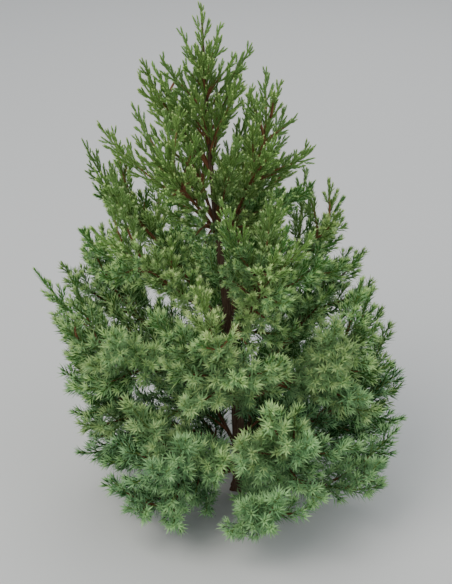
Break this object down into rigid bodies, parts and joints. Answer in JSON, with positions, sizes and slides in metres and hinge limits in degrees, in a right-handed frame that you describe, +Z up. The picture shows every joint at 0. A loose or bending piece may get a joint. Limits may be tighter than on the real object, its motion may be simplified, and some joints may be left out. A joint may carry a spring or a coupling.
{
  "type": "stricta chinese juniper",
  "caption": "Young conical juniper shrub rooted in the ground: a leaning trunk, tiers of ascending boughs and dense plumes of short blue-green needles.",
  "frame": {"origin": "middle of the flat cut under the trunk, at ground level", "axes": "+Z up the plant, -Y towards the viewer of the picture, +X to the viewer's right"},
  "size_m": [0.3007, 0.2716, 0.42],
  "materials": {
    "bark": "rough, flaking reddish-brown bark",
    "needles_low": "matt blue-green needles with a pale bloom",
    "needles_mid": "matt green needles with a pale bloom",
    "needles_high": "matt fresh green needles with yellow-green tips"
  },
  "bodies": {
    "root": {"bough_low_1": "bark", "bough_low_2": "bark", "bough_low_3": "bark", "bough_low_4": "bark", "bough_low_5": "bark", "bough_low_6": "bark", "bough_middle_1": "bark", "bough_middle_2": "bark", "bough_middle_3": "bark", "bough_middle_4": "bark", "bough_middle_5": "bark", "bough_middle_6": "bark", "bough_skirt_1": "bark", "bough_skirt_2": "bark", "bough_skirt_3": "bark", "bough_skirt_4": "bark", "bough_skirt_5": "bark", "bough_skirt_6": "bark", "bough_skirt_7": "bark", "bough_top_1": "bark", "bough_top_2": "bark", "bough_top_3": "bark", "bough_upper_1": "bark", "bough_upper_2": "bark", "bough_upper_3": "bark", "bough_upper_4": "bark", "bough_upper_5": "bark", "foliage_leader_1": "needles_high", "foliage_leader_2": "needles_high", "foliage_leader_3": "needles_high", "foliage_low_1": "needles_low", "foliage_low_2": "needles_low", "foliage_low_3": "needles_low", "foliage_low_4": "needles_low", "foliage_low_5": "needles_low", "foliage_low_6": "needles_low", "foliage_middle_1": "needles_mid", "foliage_middle_2": "needles_mid", "foliage_middle_3": "needles_mid", "foliage_middle_4": "needles_mid", "foliage_middle_5": "needles_mid", "foliage_middle_6": "needles_mid", "foliage_skirt_1": "needles_low", "foliage_skirt_2": "needles_low", "foliage_skirt_3": "needles_low", "foliage_skirt_4": "needles_low", "foliage_skirt_5": "needles_low", "foliage_skirt_6": "needles_low", "foliage_skirt_7": "needles_low", "foliage_top_1": "needles_high", "foliage_top_2": "needles_high", "foliage_top_3": "needles_high", "foliage_upper_1": "needles_mid", "foliage_upper_2": "needles_mid", "foliage_upper_3": "needles_mid", "foliage_upper_4": "needles_mid", "foliage_upper_5": "needles_mid", "trunk": "bark"}
  },
  "joints": []
}
